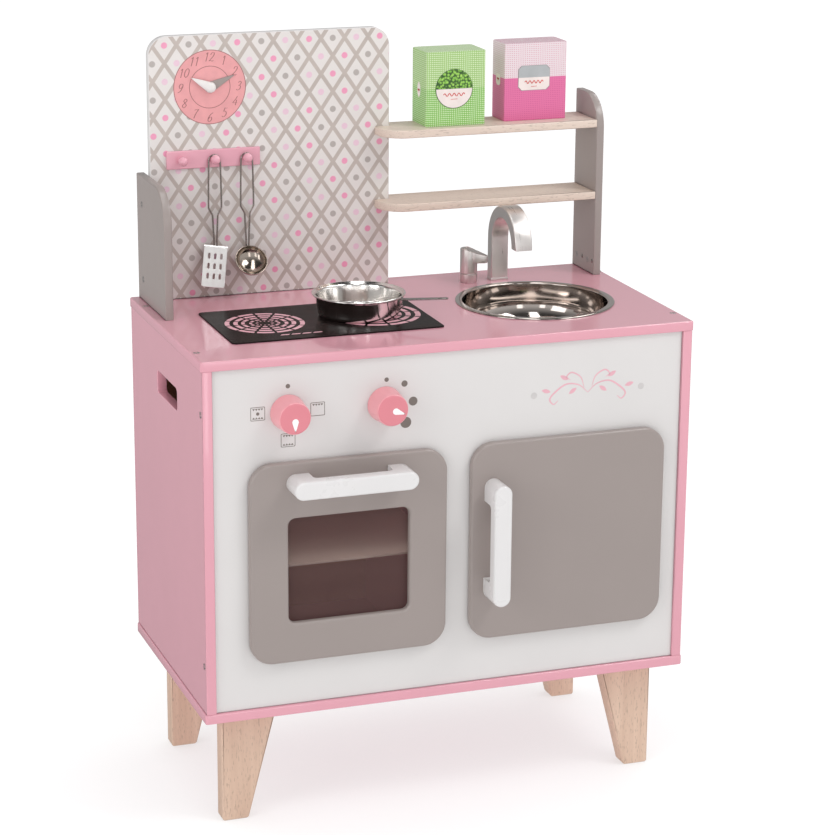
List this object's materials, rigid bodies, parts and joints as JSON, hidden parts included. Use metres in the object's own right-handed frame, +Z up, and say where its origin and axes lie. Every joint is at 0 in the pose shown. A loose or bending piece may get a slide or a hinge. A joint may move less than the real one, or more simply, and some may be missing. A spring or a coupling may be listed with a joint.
{
  "type": "toy kitchen",
  "caption": "Toy kitchen: cabinet on tapered legs with oven and cupboard doors, knobs, hob, sink, tap, patterned back board with clock and pegs, shelves and utensils.",
  "frame": {"origin": "on the floor, under the middle of the whole box, handles included", "axes": "+Z up, -Y towards the child at the front, +X to the right seen from the front"},
  "size_m": [0.545, 0.33, 0.8054],
  "materials": {
    "pink_lacquer": "satin pink lacquer on fibreboard",
    "white_lacquer": "satin white lacquer on fibreboard",
    "taupe_lacquer": "satin taupe lacquer on fibreboard",
    "rose_lacquer": "satin rose lacquer on turned wood",
    "patterned_board": "printed lattice and dots, satin",
    "beech": "clear matt lacquer",
    "raw_board": "bare hardboard and dowels",
    "black_print": "printed gloss film",
    "tinted_pane": "brown tinted acrylic",
    "polished_steel": "polished stainless steel",
    "silver_metal": "brushed silver finish",
    "screw_steel": "zinc-plated screws, pins and hinges",
    "magnet_metal": "nickel-plated magnet and strike discs",
    "clock_white": "satin white lacquer",
    "green_card": "printed card",
    "pink_card": "printed card"
  },
  "bodies": {
    "cabinet": {"worktop": "pink_lacquer", "side_left": "pink_lacquer", "side_right": "pink_lacquer", "bottom_panel": "pink_lacquer", "front_panel": "white_lacquer", "back_panel": "raw_board", "centre_divider": "pink_lacquer", "oven_shelf": "beech", "leg_front_left": "beech", "leg_front_right": "beech", "leg_back_left": "beech", "leg_back_right": "beech", "leg_screws": "screw_steel", "carcass_screws": "screw_steel", "post_left": "taupe_lacquer", "post_right": "taupe_lacquer", "post_bracket": "silver_metal", "post_screws": "screw_steel", "splashback": "patterned_board", "shelf_upper": "beech", "shelf_lower": "beech", "shelf_screws": "screw_steel", "hook_rail": "rose_lacquer", "hook_pegs": "rose_lacquer", "hob_plate": "black_print", "tap_spout": "silver_metal", "tap_base": "silver_metal", "tap_screws": "screw_steel", "oven_hinges": "screw_steel", "cupboard_hinges": "screw_steel", "hinge_pins": "screw_steel", "door_magnets": "magnet_metal", "clock_pin": "rose_lacquer"},
    "oven_door_body": {"oven_door": "taupe_lacquer", "oven_window": "tinted_pane", "oven_handle": "white_lacquer", "oven_handle_screws": "screw_steel", "oven_strike": "magnet_metal"},
    "cupboard_door_body": {"cupboard_door": "taupe_lacquer", "cupboard_handle": "white_lacquer", "cupboard_handle_screws": "screw_steel", "cupboard_strike": "magnet_metal"},
    "oven_knob_body": {"oven_knob": "rose_lacquer", "oven_knob_spindle": "raw_board"},
    "hob_knob_body": {"hob_knob": "rose_lacquer", "hob_knob_spindle": "raw_board"},
    "tap_lever_body": {"tap_lever": "silver_metal"},
    "sink": {"sink_bowl": "polished_steel"},
    "pan": {"pan_body": "polished_steel", "pan_handle": "polished_steel"},
    "hour_hand": {"clock_hour_hand": "clock_white"},
    "minute_hand": {"clock_minute_hand": "taupe_lacquer"},
    "spatula": {"spatula_handle": "polished_steel", "spatula_blade": "polished_steel"},
    "ladle": {"ladle_handle": "polished_steel", "ladle_bowl": "polished_steel"},
    "green_carton": {"carton_green": "green_card"},
    "pink_carton": {"carton_pink": "pink_card"}
  },
  "joints": [
    {"name": "oven_door_hinge", "type": "hinge", "parent": "cabinet", "child": "oven_door_body", "pos_m": [-0.1165, -0.1292, 0.1888], "axis": [1, 0, 0], "range_deg": [0, 90]},
    {"name": "cupboard_door_hinge", "type": "hinge", "parent": "cabinet", "child": "cupboard_door_body", "pos_m": [0.2372, -0.1292, 0.29475], "axis": [0, 0, 1], "range_deg": [0, 105]},
    {"name": "oven_knob_turn", "type": "hinge", "parent": "cabinet", "child": "oven_knob_body", "pos_m": [-0.1802, -0.1245, 0.4557], "axis": [0, -1, 0], "continuous": true},
    {"name": "hob_knob_turn", "type": "hinge", "parent": "cabinet", "child": "hob_knob_body", "pos_m": [-0.0755, -0.1245, 0.455], "axis": [0, -1, 0], "continuous": true},
    {"name": "tap_lever_turn", "type": "hinge", "parent": "cabinet", "child": "tap_lever_body", "pos_m": [0.108, 0.1165, 0.53], "axis": [0, 0, 1], "range_deg": [-120, 0]},
    {"name": "sink_lift", "type": "slide", "parent": "cabinet", "child": "sink", "axis": [0, 0, 1], "range_m": [0, 0.045]},
    {"name": "pan_lift", "type": "slide", "parent": "cabinet", "child": "pan", "axis": [0, 0, 1], "range_m": [0, 0.25]},
    {"name": "hour_hand_turn", "type": "hinge", "parent": "cabinet", "child": "hour_hand", "pos_m": [-0.185, 0.1361, 0.7485], "axis": [0, -1, 0], "continuous": true},
    {"name": "minute_hand_turn", "type": "hinge", "parent": "cabinet", "child": "minute_hand", "pos_m": [-0.185, 0.1376, 0.7485], "axis": [0, -1, 0], "continuous": true},
    {"name": "spatula_swing", "type": "hinge", "parent": "cabinet", "child": "spatula", "pos_m": [-0.1825, 0.1329, 0.671], "axis": [0, 1, 0], "range_deg": [0, 14]},
    {"name": "ladle_swing", "type": "hinge", "parent": "cabinet", "child": "ladle", "pos_m": [-0.1461, 0.1329, 0.671], "axis": [0, 1, 0], "range_deg": [-14, 0]},
    {"name": "green_carton_lift", "type": "slide", "parent": "cabinet", "child": "green_carton", "axis": [0, 0, 1], "range_m": [0, 0.15]},
    {"name": "pink_carton_lift", "type": "slide", "parent": "cabinet", "child": "pink_carton", "axis": [0, 0, 1], "range_m": [0, 0.15]}
  ]
}
